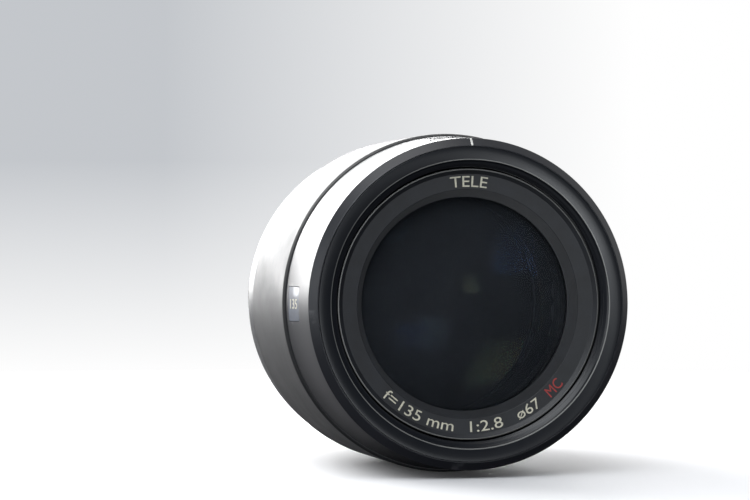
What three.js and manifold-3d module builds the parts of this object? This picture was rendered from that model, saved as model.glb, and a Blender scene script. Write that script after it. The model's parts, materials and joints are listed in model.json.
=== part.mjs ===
// A 135 mm f/2.8 autofocus telephoto lens for a mirrorless camera, as the separate pieces
// it is assembled from.
// Millimetres, +Z up. The optical axis is Y, and the lens looks along -Y.
// A piece's "station" is its distance ahead of the seat of the bayonet flange.
// Pieces are built with y = -station.
// The finished group is then moved along Y so that its origin is the middle of the lens's overall length.
// Angles run anticlockwise as seen from the front, from +X towards +Z.

import * as THREE from "three";
import { mergeVertices } from "three/addons/utils/BufferGeometryUtils.js";
import Module from "manifold-3d";

const wasm = await Module();
wasm.setup();

// ---------------------------------------------------------------- driving dimensions

const FRONT = 120; // station of the front rim
const SHELL_FACETS = 48;
const TUBE_FACETS = 36;
const GLASS_FACETS = 28;
const PIN_FACETS = 8;

const RIM = { radius: 40, bevel: 1.9, bevelDepth: 1.8 };
const THREAD = { radius: 33.6, mouth: 34.7, start: 118.8, end: 116.4, relief: 33.1 };
const NAME_RING = { inner: 27.7, outer: 31.4, lip: 32.4, edge: 32.7, face: 116.9, trap: 25.9 };
const SHELL = { bore: 37.9, rear: 98.7, rearRadius: 41.3 };
const GRIP = { radius: 42, inner: 40.3, from: 60.6, to: 98.3 };
const CORE = { radius: 40.2, inner: 38.7, from: 60.6, to: 98.3 };
const MOUNT = { radius: 30.4, seatInner: 24.6, thickness: 2.1, barrel: 21.6, throat: 19.6, depth: 4.6 };
const TAB = { radius: 22.9, thickness: 1.4, sweep: 52, count: 3 };
const SCREW = { circle: 27.4, count: 4, shank: 0.9, head: 1.75, headDepth: 0.9, hole: 1.1, tip: 5.2 };
const CONTACT = { from: 234, to: 306, inner: 15.9, outer: 19.2, pads: 10 };
const BAFFLE = { radius: 19.3, halfWidth: 12.5, halfHeight: 8.75 };
const MAIN = { bore: 34.8, wall: 1.6, front: 108.2, shoulder: 40.4, rearBore: 28.8, rear: 12.4 };
const ROD = { circle: 32.4, radius: 1.2, from: 41.2, to: 87, angles: [30, 210] };
const IRIS = {
  blades: 9,
  opening: 13,
  pivotCircle: 19.8,
  swing: 34.5, // degrees a blade turns from wide open to fully stopped down
  ratio: 2, // blade degrees per cam ring degree
  plate: 54.6, // rear face of the housing's plate
  firstBlade: 56.1,
  leaf: 0.16,
  pitch: 0.26,
  cam: 58.7,
};
const GEAR = { module: 0.4, ringTeeth: 118, pinionTeeth: 10, angle: 255 };
const DISPLAY = { halfWidth: 11.6, from: 101.6, to: 110 };
const BADGE = { size: 8.6, centre: 105 };
const GAP = 0.3; // clearance left between pieces that touch on the real lens

// ---------------------------------------------------------------- materials

const material = (color, roughness, metalness) =>
  new THREE.MeshStandardMaterial({ color, roughness, metalness });
const BLACK_ANODISED = material(0x1b1c1f, 0.42, 0.6);
const MATT_BLACK = material(0x0c0c0d, 0.85, 0.1);
const RUBBER = material(0x18191a, 0.75, 0);
const STEEL = material(0xb9bbbd, 0.28, 1);
const ALUMINIUM = material(0x8b8d90, 0.4, 1);
const GLASS = material(0x2a3634, 0.03, 0);
const PLASTIC = material(0x151516, 0.55, 0);
const BADGE_ENAMEL = material(0x4a5563, 0.3, 0.2);
const GOLD = material(0xd2a24c, 0.25, 1);
const COPPER = material(0xa6603a, 0.4, 0.9);
const BOARD = material(0x1d4a33, 0.6, 0);
const MAGNET = material(0x77797c, 0.35, 0.9);

// ---------------------------------------------------------------- shape helpers

const radians = THREE.MathUtils.degToRad;
const polar = (radius, degrees) => [radius * Math.cos(radians(degrees)), radius * Math.sin(radians(degrees))];

// Turns [x, z] anticlockwise about a centre.
function spin([x, z], degrees, [cx, cz] = [0, 0]) {
  const c = Math.cos(radians(degrees));
  const s = Math.sin(radians(degrees));
  return [cx + (x - cx) * c - (z - cz) * s, cz + (x - cx) * s + (z - cz) * c];
}

// Points along an arc, both ends included.
function arc(radius, from, to, steps, [cx, cz] = [0, 0]) {
  return Array.from({ length: steps + 1 }, (_, i) => {
    const [x, z] = polar(radius, from + ((to - from) * i) / steps);
    return [cx + x, cz + z];
  });
}

// A whole circle as an outline, without repeating its first point.
const circle = (radius, facets) => arc(radius, 0, 360 - 360 / facets, facets - 1);

// A solid of revolution about the optical axis, from a profile of [radius, station] points.
// The profile runs from axis to axis, or else closes on itself.
function turned(profile, facets) {
  const outline = profile[0][0] === 0 ? profile : [...profile, profile[0]];
  const area = outline.reduce((sum, [r, s], i) => {
    const [r2, s2] = outline[(i + 1) % outline.length];
    return sum + r * s2 - r2 * s;
  }, 0);
  const ordered = area < 0 ? outline : [...outline].reverse();
  return new THREE.LatheGeometry(ordered.map(([r, s]) => new THREE.Vector2(r, -s)), facets);
}

// A tube between two stations.
const tube = (inner, outer, from, to, facets) =>
  turned([[inner, from], [outer, from], [outer, to], [inner, to]], facets);

// A flat plate whose outline, and holes, are [x, z] points.
function plate(outline, from, to, holes = []) {
  const shape = new THREE.Shape(outline.map(([x, z]) => new THREE.Vector2(x, z)));
  shape.holes = holes.map((hole) => new THREE.Path(hole.map(([x, z]) => new THREE.Vector2(x, z))));
  return new THREE.ExtrudeGeometry(shape, { depth: to - from, bevelEnabled: false, steps: 1 })
    .rotateX(Math.PI / 2)
    .translate(0, -from, 0);
}

// A cylinder parallel to the optical axis, through [x, z].
const rod = ([x, z], radius, from, to, facets = PIN_FACETS) =>
  new THREE.CylinderGeometry(radius, radius, to - from, facets).translate(x, -(from + to) / 2, z);

// A box with its sides along X, Y and Z.
const box = ([x0, x1], [from, to], [z0, z1]) =>
  new THREE.BoxGeometry(x1 - x0, to - from, z1 - z0)
    .translate((x0 + x1) / 2, -(from + to) / 2, (z0 + z1) / 2);

// A box that points outwards at an angle: radial, tangential and station ranges.
const spoke = (degrees, [r0, r1], halfWidth, stations) =>
  box([r0, r1], stations, [-halfWidth, halfWidth]).rotateY(-radians(degrees));

// Closed geometry as a manifold solid, and back.
function solid(geometry) {
  const bare = geometry.clone();
  bare.deleteAttribute("normal");
  bare.deleteAttribute("uv");
  const merged = mergeVertices(bare, 1e-4);
  const triVerts = new Uint32Array(merged.index.array);
  return new wasm.Manifold(
    new wasm.Mesh({ numProp: 3, vertProperties: merged.attributes.position.array, triVerts }),
  );
}

function geometryOf(manifold) {
  const mesh = manifold.getMesh();
  return new THREE.BufferGeometry()
    .setAttribute("position", new THREE.BufferAttribute(mesh.vertProperties, 3))
    .setIndex(new THREE.BufferAttribute(mesh.triVerts, 1));
}

const cut = (geometry, tools) =>
  geometryOf(tools.reduce((a, tool) => a.subtract(solid(tool)), solid(geometry)));
const join = (geometry, others) =>
  geometryOf(others.reduce((a, other) => a.add(solid(other)), solid(geometry)));
const common = (a, b) => geometryOf(solid(a).intersect(solid(b)));

// ---------------------------------------------------------------- outer shell

function frontBarrel() {
  const shell = turned(
    [
      [SHELL.bore, FRONT - 0.1],
      [RIM.radius - RIM.bevel, FRONT - 0.1],
      [RIM.radius, FRONT - RIM.bevelDepth],
      [RIM.radius + 0.55, 107],
      [SHELL.rearRadius, SHELL.rear + 0.5],
      [SHELL.rearRadius - 0.3, SHELL.rear],
      [SHELL.bore, SHELL.rear],
    ],
    SHELL_FACETS,
  );
  const displayOpening = box([-DISPLAY.halfWidth, DISPLAY.halfWidth], [DISPLAY.from, DISPLAY.to], [30, 50]);
  return cut(shell, [displayOpening, badgeBlock(-39.9, 0)]);
}

// The block that the badge's recess and the badge itself are cut from.
const badgeBlock = (depth, margin) =>
  box(
    [-50, depth],
    [BADGE.centre - BADGE.size / 2 + margin, BADGE.centre + BADGE.size / 2 - margin],
    [-BADGE.size / 2 + margin, BADGE.size / 2 - margin],
  );

const badgePlate = () =>
  common(
    turned([[38, 98], [41.15, 98], [40.55, 107], [40.4, 112], [38, 112]], SHELL_FACETS),
    badgeBlock(-40.05, 0.1),
  );

const displayWindow = () =>
  common(
    turned([[39, 99], [41.1, 99], [40.45, 107], [40.25, 112], [39, 112]], SHELL_FACETS),
    box(
      [-DISPLAY.halfWidth + 0.12, DISPLAY.halfWidth - 0.12],
      [DISPLAY.from + 0.12, DISPLAY.to - 0.12],
      [30, 50],
    ),
  );

const displayPanel = () =>
  box(
    [-DISPLAY.halfWidth + 1.4, DISPLAY.halfWidth - 1.4],
    [DISPLAY.from + 0.7, DISPLAY.to - 0.7],
    [36.9, 37.45],
  );

const filterRing = () =>
  turned(
    [
      [THREAD.relief, 112.4],
      [THREAD.relief, THREAD.end],
      [THREAD.radius, THREAD.end],
      [THREAD.radius, THREAD.start],
      [THREAD.mouth - 0.4, THREAD.start + 0.3],
      [THREAD.mouth, FRONT - 0.4],
      [THREAD.mouth + 1.9, FRONT],
      [SHELL.bore - 0.2, FRONT],
      [SHELL.bore - 0.2, 110.6],
      [35.4, 110.6],
      [35.4, 112.4],
    ],
    SHELL_FACETS,
  );

// The name ring's face slopes inwards from a raised lip, and its bore is a cone that traps stray light.
const nameRing = () =>
  turned(
    [
      [NAME_RING.inner, NAME_RING.face - 0.3],
      [NAME_RING.outer, NAME_RING.face],
      [NAME_RING.lip, NAME_RING.face + 0.7],
      [NAME_RING.edge, NAME_RING.face + 0.6],
      [NAME_RING.edge, 112.6],
      [NAME_RING.trap + 0.3, 112.1],
      [NAME_RING.trap, 113.6],
    ],
    SHELL_FACETS,
  );

const focusGrip = () =>
  turned(
    [
      [GRIP.inner, GRIP.from],
      [GRIP.radius - 0.5, GRIP.from],
      [GRIP.radius, GRIP.from + 0.8],
      [GRIP.radius, GRIP.to - 0.8],
      [GRIP.radius - 0.5, GRIP.to],
      [GRIP.inner, GRIP.to],
    ],
    SHELL_FACETS,
  );

const focusCore = () => tube(CORE.inner, CORE.radius, CORE.from, CORE.to, SHELL_FACETS);

// The rear shell's outside is a smooth shoulder from the focus ring down to the mount.
const shoulderRadius = (station) => {
  const t = THREE.MathUtils.smoothstep(station, 8, 57);
  return 31.2 + (41.5 - 31.2) * t;
};

function rearBarrel() {
  const steps = 7;
  const outside = Array.from({ length: steps + 1 }, (_, i) => {
    const station = 8 + ((57 - 8) * i) / steps;
    return [shoulderRadius(station), station];
  });
  const shell = turned(
    [
      [23.8, 2.3],
      [31.2, 2.3],
      ...outside,
      [41.4, 60.2],
      [MAIN.bore + MAIN.wall + GAP, 60.2],
      [MAIN.bore + MAIN.wall + GAP, 57],
      [39.2, 54],
      [37.3, 40],
      [30.9, 22],
      [29.4, 5.6],
      [23.8, 5.6],
    ],
    SHELL_FACETS,
  );
  return cut(shell, screwCentres.map((centre) => rod(centre, SCREW.hole, 1, 7)));
}

// ---------------------------------------------------------------- bayonet mount

const screwCentres = Array.from({ length: SCREW.count }, (_, i) => polar(SCREW.circle, 40 + 90 * i));

function mountFlange() {
  const plain = turned(
    [
      [MOUNT.throat, MOUNT.thickness],
      [MOUNT.throat, -MOUNT.depth],
      [MOUNT.barrel, -MOUNT.depth],
      [MOUNT.barrel, 0.35],
      [MOUNT.seatInner, 0.35],
      [MOUNT.seatInner, 0],
      [MOUNT.radius, 0],
      [MOUNT.radius, MOUNT.thickness],
    ],
    SHELL_FACETS,
  );
  const tabs = Array.from({ length: TAB.count }, (_, i) => bayonetTab(90 + (360 / TAB.count) * i));
  const counterbores = screwCentres.map((centre) =>
    rod(centre, SCREW.head + 0.15, -1, SCREW.headDepth + 0.15),
  );
  const holes = screwCentres.map((centre) => rod(centre, SCREW.hole, -1, 4));
  const lockHole = rod(polar(27.6, 180), 1.5, -1, 1.4);
  return cut(join(plain, tabs), [...counterbores, ...holes, lockHole]);
}

function bayonetTab(centre) {
  const half = TAB.sweep / 2;
  const outline = [
    ...arc(TAB.radius, centre - half, centre + half, 6),
    ...arc(MOUNT.barrel - 1, centre + half, centre - half, 6),
  ];
  return plate(outline, -MOUNT.depth, -MOUNT.depth + TAB.thickness);
}

const mountGasket = () =>
  turned([[30.6, -0.35], [30.95, -0.35], [31.35, 0.6], [31.35, 2.05], [30.6, 2.05]], SHELL_FACETS);

// A countersunk screw with a cross recess in its head.
function mountScrew([x, z]) {
  const body = turned(
    [
      [0, 0.15],
      [SCREW.head, 0.15],
      [SCREW.head, 0.35],
      [SCREW.shank, SCREW.headDepth + 0.1],
      [SCREW.shank, SCREW.tip],
      [0, SCREW.tip],
    ],
    10,
  );
  const [reach, width, depth] = [1.2, 0.22, 0.6];
  const recess = [
    box([-reach, reach], [0, depth], [-width, width]),
    box([-width, width], [0, depth], [-reach, reach]),
  ];
  return cut(body, recess).translate(x, 0, z);
}

// The electrical contacts sit in an arc at the bottom of the throat.
const contactBlock = () =>
  plate(
    [
      ...arc(CONTACT.outer, CONTACT.from, CONTACT.to, 8),
      ...arc(CONTACT.inner, CONTACT.to, CONTACT.from, 8),
    ],
    -3.9,
    2,
  );

function contactStrip() {
  const strip = plate(
    [
      ...arc(CONTACT.outer - 0.6, CONTACT.from + 3, CONTACT.to - 3, 8),
      ...arc(CONTACT.inner + 0.6, CONTACT.to - 3, CONTACT.from + 3, 8),
    ],
    -4.2,
    -3.95,
  );
  const spacing = (CONTACT.to - CONTACT.from - 10) / (CONTACT.pads - 1);
  const pads = Array.from({ length: CONTACT.pads }, (_, i) =>
    spoke(CONTACT.from + 5 + spacing * i, [16.9, 18.2], 0.55, [-4.55, -4.1]),
  );
  return join(strip, pads);
}

// The baffle's window has the proportions of the picture behind it.
function rearBaffle() {
  const { halfWidth: w, halfHeight: h } = BAFFLE;
  const window = [[-w, -h], [w, -h], [w, h], [-w, h]];
  return plate(circle(BAFFLE.radius, 24), 2.5, 3.5, [window]);
}

// ---------------------------------------------------------------- fixed inner barrels

function mainBarrel() {
  const outer = MAIN.bore + MAIN.wall;
  const rearOuter = MAIN.rearBore + MAIN.wall;
  const land = CORE.inner - GAP; // the focus ring runs on two raised lands
  const body = turned(
    [
      [21.8, MAIN.rear],
      [rearOuter - 1, MAIN.rear],
      [rearOuter - 1, 24],
      [rearOuter, 26],
      [rearOuter, MAIN.shoulder],
      [outer, MAIN.shoulder],
      [outer, 61.5],
      [land, 61.5],
      [land, 63.5],
      [outer, 63.5],
      [outer, 95.5],
      [land, 95.5],
      [land, 97.5],
      [SHELL.bore - GAP, 98],
      [SHELL.bore - GAP, MAIN.front],
      [MAIN.bore, MAIN.front],
      [MAIN.bore, MAIN.shoulder + 1.8],
      [MAIN.rearBore, MAIN.shoulder + 1.8],
      [MAIN.rearBore, 26],
      [rearOuter - 2.6, 24],
      [rearOuter - 2.6, MAIN.rear + 1.6],
      [21.8, MAIN.rear + 1.6],
    ],
    TUBE_FACETS,
  );
  const pocketHalf = DISPLAY.halfWidth - 0.6;
  const displayPocket = box([-pocketHalf, pocketHalf], [DISPLAY.from, DISPLAY.to], [36.6, 40]);
  return cut(body, [...rodBores(), displayPocket]);
}

const rodBores = () => ROD.angles.map((a) => rod(polar(ROD.circle, a), ROD.radius + 0.2, 39, 90, 12));

const frontLensCell = () =>
  cut(
    turned(
      [
        [28.3, 112],
        [28.3, 106.6],
        [26.3, 106.6],
        [26.3, 99],
        [24.3, 99],
        [24.3, 85.9],
        [23.2, 85.9],
        [23.2, 85.2],
        [34.2, 85.2],
        [34.2, 87.8],
        [26.4, 87.8],
        [26.4, 97.5],
        [30.4, 107],
        [30.4, 108.5],
        [36.4, 108.5],
        [36.4, 110.3],
        [30.4, 110.3],
        [30.4, 112],
      ],
      TUBE_FACETS,
    ),
    rodBores(),
  );

const rearLensCell = () =>
  turned(
    [
      [17.1, 14.3],
      [17.1, 25.8],
      [19.4, 25.8],
      [19.4, 16],
      [24.4, 16],
      [24.4, 14.4],
      [21.4, 14.4],
      [18.8, 6.8],
      [15.4, 6.8],
      [16.3, 8.2],
      [16.3, 14.3],
    ],
    TUBE_FACETS,
  );

// The main circuit board is a C round the rear lens cell, with its chips on the front face.
function mainBoard() {
  const board = plate([...arc(29, 300, 600, 20), ...arc(22.8, 600, 300, 20)], 8.4, 9.4);
  const chips = [
    spoke(20, [23.6, 28.2], 2.6, [9.3, 10.6]),
    spoke(75, [23.8, 28], 3.4, [9.3, 10.4]),
    spoke(140, [23.6, 28.2], 2.8, [9.3, 10.6]),
    spoke(205, [24.4, 27.6], 1.8, [9.3, 10.3]),
  ];
  return join(board, chips);
}

// ---------------------------------------------------------------- glass

// Each surface is spherical. Its bulge is how far its vertex stands ahead of its rim.
const ELEMENTS = [
  { radius: 28, front: 116, frontBulge: 5, rear: 108.4, rearBulge: 1, facets: 40, steps: 4 },
  { radius: 26, front: 107.6, frontBulge: 5.6, rear: 101, rearBulge: 1.4, facets: 36, steps: 3 },
  { radius: 24, front: 100.3, frontBulge: 4.2, rear: 93, rearBulge: -1 },
  { radius: 24, front: 92.9, frontBulge: -1, rear: 91, rearBulge: 4.9 },
  { radius: 19, front: 84.5, frontBulge: 1.5, rear: 80.2, rearBulge: -1 },
  { radius: 19, front: 80.1, frontBulge: -1, rear: 78.6, rearBulge: 2.5 },
  { radius: 17.5, front: 75.8, frontBulge: 1.2, rear: 73.3, rearBulge: 0.3 },
  { radius: 14, front: 53, frontBulge: 1.2, rear: 50, rearBulge: -0.8 },
  { radius: 14, front: 49.9, frontBulge: -0.8, rear: 48.6, rearBulge: 1 },
  { radius: 13.7, front: 38.5, frontBulge: 1.5, rear: 35.8, rearBulge: 0.5 },
  { radius: 13.7, front: 33.6, frontBulge: -1, rear: 32.2, rearBulge: 1 },
  { radius: 16.8, front: 25.5, frontBulge: 1.5, rear: 21.2, rearBulge: -1.2 },
  { radius: 16.8, front: 18.4, frontBulge: -1.8, rear: 16.8, rearBulge: 1.8 },
  { radius: 16, front: 12.5, frontBulge: 1, rear: 7.6, rearBulge: -1.4 },
];

// A spherical surface as profile points from the axis out to the rim.
function surface(radius, vertex, bulge, steps) {
  const sphere = (radius ** 2 + bulge ** 2) / (2 * bulge);
  return Array.from({ length: steps + 1 }, (_, i) => {
    const r = (radius * i) / steps;
    const sag = sphere - Math.sign(bulge) * Math.sqrt(sphere ** 2 - r ** 2);
    return [r, vertex - sag];
  });
}

function lensElement({ radius, front, frontBulge, rear, rearBulge, facets = GLASS_FACETS, steps = 2 }) {
  const ahead = surface(radius, front, frontBulge, steps);
  const behind = surface(radius, rear, rearBulge, steps);
  return turned([...ahead, ...behind.reverse()], facets);
}

// ---------------------------------------------------------------- focusing groups

// A focusing carrier is a lens cell with a bored lug for each guide rod and an arm for its coil.
function focusCarrier(cell, outer, lug, coilAngle) {
  const body = turned(cell, TUBE_FACETS);
  const lugs = ROD.angles.map((a) => spoke(a, [outer - 1, ROD.circle + 1.9], 2.6, lug));
  const coilArm = spoke(coilAngle, [outer - 1, 28.5], 3.2, lug);
  return cut(join(body, [...lugs, coilArm]), rodBores());
}

const frontFocusCarrier = () =>
  focusCarrier(
    [[19.3, 84.9], [19.3, 75.9], [17.8, 75.9], [17.8, 72.5], [19.4, 72.5], [21.3, 75], [21.3, 84.9]],
    21.3,
    [76, 82],
    120,
  );

const rearFocusCarrier = () =>
  focusCarrier([[14.3, 47.2], [16.4, 47.2], [16.4, 52.4], [14.3, 52.4]], 16.4, [48, 51], 300);

// A voice coil: a flat winding round an open middle, facing its magnet.
const voiceCoil = (angle, [from, to]) =>
  cut(spoke(angle, [28.8, 30.8], 5.5, [from, to]), [spoke(angle, [28, 32], 2.8, [from + 1.8, to - 1.8])]);

const voiceMagnet = (angle, stations) => spoke(angle, [31.6, 33.9], 6, stations);

const guideRod = (angle) => rod(polar(ROD.circle, angle), ROD.radius, ROD.from, ROD.to, 12);

// ---------------------------------------------------------------- image stabiliser

const stabiliserBase = () =>
  turned([[19, 27], [28.4, 27], [28.4, 40], [27.3, 40], [27.3, 29], [19, 29]], TUBE_FACETS);

// The guide slides sideways on the base, and the lens frame slides up and down on the guide.
const stabiliserGuide = () =>
  plate(circle(24.4, 36), 30.2, 31.2, [circle(18.4, 18)]);

function stabiliserFrame() {
  const cell = turned(
    [[14, 31], [17, 31], [17, 32], [24.6, 32], [24.6, 33.2], [17, 33.2], [17, 38.7], [14, 38.7]],
    TUBE_FACETS,
  );
  const coils = [45, 135].map((a) => spoke(a, [18.2, 23.6], 4.2, [33, 34.6]));
  return join(cell, coils);
}

// ---------------------------------------------------------------- iris

const pivot = [IRIS.pivotCircle, 0];
const drivePin = polar(IRIS.pivotCircle, -9);
const camTravel = IRIS.swing / IRIS.ratio;

// One blade, wide open, with its pivot at angle 0. The hooked end carries the pin that the cam ring drives.
function irisBlade(index) {
  const leaf = IRIS.firstBlade + IRIS.pitch * index;
  const outline = [
    ...arc(13.4, -3, 108, 6),
    polar(14.6, 113),
    polar(16.6, 110),
    ...arc(18.7, 96, 12, 5),
    polar(21, 4.5),
    polar(21.1, -3),
    ...arc(1.1, 60, -100, 3, drivePin),
    polar(18.2, -8),
  ];
  const pivotPin = rod(pivot, 0.5, IRIS.plate + 0.3, leaf + IRIS.leaf / 2, 6);
  const camPin = rod(drivePin, 0.5, leaf + IRIS.leaf / 2, IRIS.cam + 0.9, 6);
  return join(plate(outline, leaf, leaf + IRIS.leaf), [pivotPin, camPin]).rotateY(
    -radians((360 / IRIS.blades) * index),
  );
}

// Where the drive pin stands in the cam ring's own frame when the ring has turned by an angle.
const pinInRing = (turn) => spin(spin(drivePin, IRIS.ratio * turn, pivot), -turn);

// The slot that lets the pin follow its blade: the pin's path, widened to both sides.
function camSlot(blade) {
  const steps = 5;
  const half = 0.75;
  const overrun = 1.8;
  const sides = [[], []];
  for (let i = 0; i <= steps; i += 1) {
    const turn = -overrun + ((camTravel + 2 * overrun) * i) / steps;
    const [x, z] = pinInRing(turn);
    const [nextX, nextZ] = pinInRing(turn + 0.1);
    const length = Math.hypot(nextX - x, nextZ - z);
    const across = [(-(nextZ - z) / length) * half, ((nextX - x) / length) * half];
    sides[0].push([x + across[0], z + across[1]]);
    sides[1].unshift([x - across[0], z - across[1]]);
  }
  return sides.flat().map((p) => spin(p, (360 / IRIS.blades) * blade));
}

// One straight-sided tooth at an angle, as four outline points.
function tooth(pitchRadius, addendum, dedendum, degrees) {
  const atRoot = (0.36 / (pitchRadius - dedendum)) * (180 / Math.PI);
  const atTip = (0.13 / (pitchRadius + addendum)) * (180 / Math.PI);
  return [
    polar(pitchRadius - dedendum, degrees - atRoot),
    polar(pitchRadius + addendum, degrees - atTip),
    polar(pitchRadius + addendum, degrees + atTip),
    polar(pitchRadius - dedendum, degrees + atRoot),
  ];
}

const ringPitch = (GEAR.module * GEAR.ringTeeth) / 2;
const pinionPitch = (GEAR.module * GEAR.pinionTeeth) / 2;
const pinionCentre = polar(ringPitch + pinionPitch, GEAR.angle);

function irisCamRing() {
  const step = 360 / GEAR.ringTeeth;
  const teeth = Array.from({ length: 10 }, (_, i) =>
    tooth(ringPitch, 0.4, 0.65, GEAR.angle + (i - 7.5) * step),
  ).flat();
  const rest = arc(ringPitch - 0.65, GEAR.angle + 3 * step, GEAR.angle + 360 - 9 * step, 28);
  const slots = Array.from({ length: IRIS.blades }, (_, i) => camSlot(i));
  return plate([...teeth, ...rest], IRIS.cam, IRIS.cam + 1, [circle(16.6, 24), ...slots]);
}

function irisPinion() {
  const step = 360 / GEAR.pinionTeeth;
  const outline = Array.from({ length: GEAR.pinionTeeth }, (_, i) =>
    tooth(pinionPitch, 0.4, 0.6, GEAR.angle + 180 + i * step),
  ).flat();
  const gear = plate(outline, IRIS.cam, IRIS.cam + 1).translate(pinionCentre[0], 0, pinionCentre[1]);
  return join(gear, [rod(pinionCentre, 0.8, 52.2, IRIS.cam + 0.5)]);
}

const irisMotor = () =>
  turned([[0, 46.4], [4, 46.4], [4, 54.2], [1.2, 54.2], [1.2, 51.6], [0, 51.6]], 16).translate(
    pinionCentre[0],
    0,
    pinionCentre[1],
  );

function irisHousing() {
  const cup = turned(
    [
      [IRIS.opening, IRIS.plate],
      [30.6, IRIS.plate],
      [30.6, 61],
      [29.6, 61],
      [29.6, IRIS.plate + 1.2],
      [IRIS.opening, IRIS.plate + 1.2],
    ],
    TUBE_FACETS,
  );
  const lugs = [75, 165, 345].map((a) => spoke(a, [30, 34.3], 3, [IRIS.plate, 57]));
  const pivotHoles = Array.from({ length: IRIS.blades }, (_, i) =>
    rod(polar(IRIS.pivotCircle, (360 / IRIS.blades) * i), 0.8, 54, 56.5, 6),
  );
  return cut(join(cup, lugs), [...pivotHoles, rod(pinionCentre, 1.2, 54, 56.5)]);
}

// ---------------------------------------------------------------- assembly

const lens = new THREE.Group();
lens.position.y = (FRONT - MOUNT.depth) / 2;

function add(name, geometry, finish) {
  const mesh = new THREE.Mesh(geometry, finish);
  mesh.name = name;
  lens.add(mesh);
}

add("front_barrel", frontBarrel(), BLACK_ANODISED);
add("filter_ring", filterRing(), BLACK_ANODISED);
add("name_ring", nameRing(), MATT_BLACK);
add("badge_plate", badgePlate(), BADGE_ENAMEL);
add("display_window", displayWindow(), GLASS);
add("display_panel", displayPanel(), PLASTIC);
add("focus_ring_grip", focusGrip(), RUBBER);
add("focus_ring_core", focusCore(), ALUMINIUM);
add("rear_barrel", rearBarrel(), BLACK_ANODISED);

add("mount_flange", mountFlange(), STEEL);
add("mount_gasket", mountGasket(), RUBBER);
screwCentres.forEach((centre, i) => add(`mount_screw_${i + 1}`, mountScrew(centre), STEEL));
add("contact_block", contactBlock(), PLASTIC);
add("contact_strip", contactStrip(), GOLD);
add("rear_baffle", rearBaffle(), MATT_BLACK);

add("main_barrel", mainBarrel(), ALUMINIUM);
add("front_lens_cell", frontLensCell(), MATT_BLACK);
add("rear_lens_cell", rearLensCell(), MATT_BLACK);
add("main_board", mainBoard(), BOARD);

ELEMENTS.forEach((element, i) =>
  add(`lens_element_${String(i + 1).padStart(2, "0")}`, lensElement(element), GLASS),
);

add("front_focus_carrier", frontFocusCarrier(), PLASTIC);
add("rear_focus_carrier", rearFocusCarrier(), PLASTIC);
add("front_focus_coil", voiceCoil(120, [74, 83.5]), COPPER);
add("rear_focus_coil", voiceCoil(300, [47.8, 53.2]), COPPER);
add("front_focus_magnet", voiceMagnet(120, [63, 84.6]), MAGNET);
add("rear_focus_magnet", voiceMagnet(300, [43, 56]), MAGNET);
ROD.angles.forEach((angle, i) => add(["upper_guide_rod", "lower_guide_rod"][i], guideRod(angle), STEEL));

add("stabiliser_base", stabiliserBase(), ALUMINIUM);
add("stabiliser_guide", stabiliserGuide(), STEEL);
add("stabiliser_frame", stabiliserFrame(), PLASTIC);

add("iris_housing", irisHousing(), MATT_BLACK);
add("iris_cam_ring", irisCamRing(), PLASTIC);
add("iris_motor", irisMotor(), ALUMINIUM);
add("iris_pinion", irisPinion(), GOLD);
for (let i = 0; i < IRIS.blades; i += 1) add(`iris_blade_${i + 1}`, irisBlade(i), MATT_BLACK);

export default lens;
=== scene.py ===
"""The looks of a telephoto prime lens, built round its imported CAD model.

Metres, +Z up. The optical axis is Y and the lens looks along -Y.
Angles about the axis run anticlockwise as seen from the front, from +X towards +Z.
"""

import json
import math

import bmesh
import bpy
import numpy as np
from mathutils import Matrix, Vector


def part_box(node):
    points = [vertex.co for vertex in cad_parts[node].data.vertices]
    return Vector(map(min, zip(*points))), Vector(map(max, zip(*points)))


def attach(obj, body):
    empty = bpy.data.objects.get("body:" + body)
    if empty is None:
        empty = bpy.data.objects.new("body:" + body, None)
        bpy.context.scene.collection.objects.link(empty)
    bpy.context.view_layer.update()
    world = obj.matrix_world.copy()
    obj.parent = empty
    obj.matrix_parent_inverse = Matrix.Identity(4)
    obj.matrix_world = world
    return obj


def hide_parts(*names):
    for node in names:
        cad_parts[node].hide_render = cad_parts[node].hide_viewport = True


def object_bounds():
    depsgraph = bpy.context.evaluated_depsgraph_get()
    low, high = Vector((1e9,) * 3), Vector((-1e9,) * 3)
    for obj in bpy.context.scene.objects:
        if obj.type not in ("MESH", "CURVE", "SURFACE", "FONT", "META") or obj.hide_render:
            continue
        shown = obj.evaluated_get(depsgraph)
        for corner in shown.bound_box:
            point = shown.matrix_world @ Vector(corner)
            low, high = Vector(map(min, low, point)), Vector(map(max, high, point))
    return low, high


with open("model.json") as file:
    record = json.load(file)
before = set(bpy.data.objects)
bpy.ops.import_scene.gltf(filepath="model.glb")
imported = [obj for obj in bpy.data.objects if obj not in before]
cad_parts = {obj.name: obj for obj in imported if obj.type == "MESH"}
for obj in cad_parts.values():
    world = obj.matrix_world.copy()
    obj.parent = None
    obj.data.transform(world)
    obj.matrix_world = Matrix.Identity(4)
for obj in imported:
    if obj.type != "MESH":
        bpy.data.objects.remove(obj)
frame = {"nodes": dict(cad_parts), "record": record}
cad_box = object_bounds()

# ---- sizes

MM = 0.001
SEGMENTS = 240  # facets round a turned piece
EDGE = 0.12 * MM  # the small round on a machined edge
SHELL_CUT = 48.75  # an angle in the middle of a facet of the CAD's 48-facet turnings, clear of any cut
TUBE_CUT = 55.0  # the same for its 36-facet turnings

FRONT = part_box("filter_ring")[0][1]
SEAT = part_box("mount_flange")[1][1] - 4.6 * MM  # the bayonet stands 4.6 mm proud of the seat
FLOOR = cad_box[0][2]

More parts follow.
